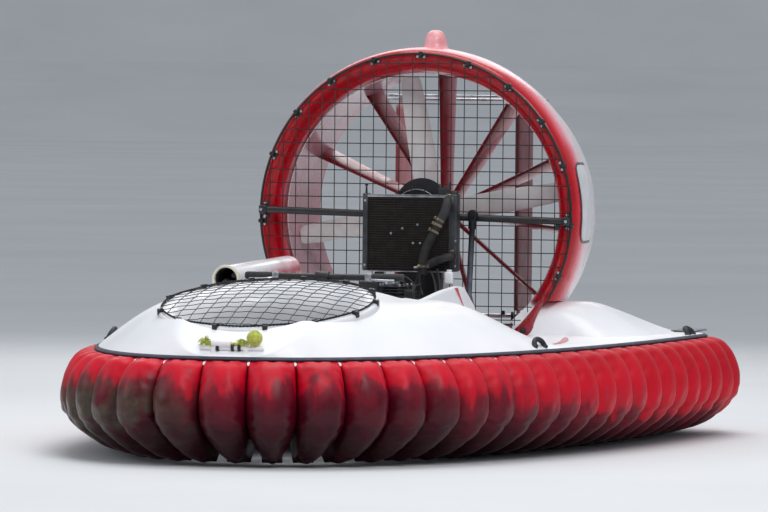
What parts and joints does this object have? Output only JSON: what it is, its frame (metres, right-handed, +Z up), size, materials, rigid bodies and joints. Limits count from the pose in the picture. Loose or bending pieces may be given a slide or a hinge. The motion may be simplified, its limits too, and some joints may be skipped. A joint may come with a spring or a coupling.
{
  "type": "hovercraft",
  "caption": "Small racing hovercraft: white hull with a fingered red skirt, a netted lift fan in the bow deck, an open cockpit, and a ducted thrust fan with stators and steered rudders.",
  "frame": {"origin": "floor under the centre of the craft's overall box", "axes": "+X to port, +Y to the stern, +Z up; the bow faces -Y"},
  "size_m": [2.1076, 3.3788, 1.45],
  "materials": {
    "white_gelcoat": "glossy white moulding, clean",
    "red_gelcoat": "glossy deep red moulding",
    "pink_gelcoat": "satin pale pink moulding",
    "red_fabric": "coated skirt cloth, wet and muddy low down",
    "black_paint": "satin black paint",
    "trim_rubber": "dark rubbing strip",
    "silver_metal": "bare satin metal",
    "engine_metal": "grey castings",
    "radiator_metal": "black finned core with grey end tanks",
    "black_vinyl": "grained black vinyl",
    "black_rubber": "matt black hose rubber",
    "yellow_felt": "frayed yellow-green rope and felt",
    "dark_plastic": "matt dark plastic"
  },
  "bodies": {
    "hull": {"hull_bow": "white_gelcoat", "hull_port": "white_gelcoat", "hull_starboard": "white_gelcoat", "deck_bow": "white_gelcoat", "deck_port": "white_gelcoat", "deck_starboard": "white_gelcoat", "duct_fairing_port": "white_gelcoat", "duct_fairing_starboard": "white_gelcoat", "side_tube": "white_gelcoat", "cockpit_coaming_port": "white_gelcoat", "cockpit_coaming_starboard": "white_gelcoat", "gunwale_trim": "trim_rubber", "skirt_bow": "red_fabric", "skirt_bow_port": "red_fabric", "skirt_side_port": "red_fabric", "skirt_quarter_port": "red_fabric", "skirt_stern": "red_fabric", "skirt_quarter_starboard": "red_fabric", "skirt_side_starboard": "red_fabric", "skirt_bow_starboard": "red_fabric", "landing_runner_port": "dark_plastic", "landing_runner_starboard": "dark_plastic", "thrust_duct": "red_gelcoat", "duct_foot_port": "red_gelcoat", "duct_foot_starboard": "red_gelcoat", "duct_bulkhead_front": "white_gelcoat", "duct_bulkhead_rear": "white_gelcoat", "stator_vanes": "red_gelcoat", "fan_guard": "black_paint", "crossbar": "black_paint", "crossbar_strut": "dark_plastic", "belt_cover": "black_paint", "engine_block": "engine_metal", "engine_frame": "black_paint", "radiator": "radiator_metal", "hose_upper": "black_rubber", "hose_lower": "black_rubber", "rudder_beam_top": "silver_metal", "rudder_beam_bottom": "silver_metal", "beacon_dome": "pink_gelcoat", "lift_intake": "white_gelcoat", "lift_fan_mount": "black_paint", "intake_net": "black_paint", "seat_base": "white_gelcoat", "seat_pad": "black_vinyl", "steering_column": "black_paint", "handle_bow_port": "dark_plastic", "handle_stern_port": "dark_plastic", "handle_bow_starboard": "dark_plastic", "handle_stern_starboard": "dark_plastic", "tow_fitting": "black_paint", "tow_ball": "yellow_felt", "tow_rope": "yellow_felt"},
    "thrust_fan": {"thrust_fan": "black_paint"},
    "rudder_port": {"rudder_port": "red_gelcoat"},
    "rudder_starboard": {"rudder_starboard": "red_gelcoat"},
    "rudder_link": {"rudder_link": "silver_metal"},
    "lift_fan": {"lift_fan": "dark_plastic"},
    "handlebar": {"handlebar": "black_paint"}
  },
  "joints": [
    {"name": "lift_fan_spin", "type": "hinge", "parent": "hull", "child": "lift_fan", "pos_m": [0, -1.07887, 0.36986], "axis": [0, -0.1942, 0.981], "continuous": true},
    {"name": "thrust_fan_spin", "type": "hinge", "parent": "hull", "child": "thrust_fan", "pos_m": [0, 0.958, 0.79], "axis": [0, 1, 0], "continuous": true},
    {"name": "steering", "type": "hinge", "parent": "hull", "child": "handlebar", "pos_m": [0, -0.4836, 0.541], "axis": [0, 0.3975, 0.9176], "range_deg": [-30, 30]},
    {"name": "rudder_port_turn", "type": "hinge", "parent": "hull", "child": "rudder_port", "pos_m": [0.226, 1.338, 0.8], "axis": [0, 0, 1], "range_deg": [-30, 30]},
    {"name": "rudder_starboard_turn", "type": "hinge", "parent": "hull", "child": "rudder_starboard", "pos_m": [-0.226, 1.338, 0.8], "axis": [0, 0, 1], "range_deg": [-30, 30]},
    {"name": "rudder_link_pivot", "type": "hinge", "parent": "rudder_starboard", "child": "rudder_link", "pos_m": [-0.226, 1.405, 1.212], "axis": [0, 0, 1], "range_deg": [-30, 30]}
  ],
  "couplings": [
    {"joint": "rudder_port_turn", "follows": "steering", "ratio": -1},
    {"joint": "rudder_starboard_turn", "follows": "steering", "ratio": -1},
    {"joint": "rudder_link_pivot", "follows": "steering", "ratio": 1}
  ]
}
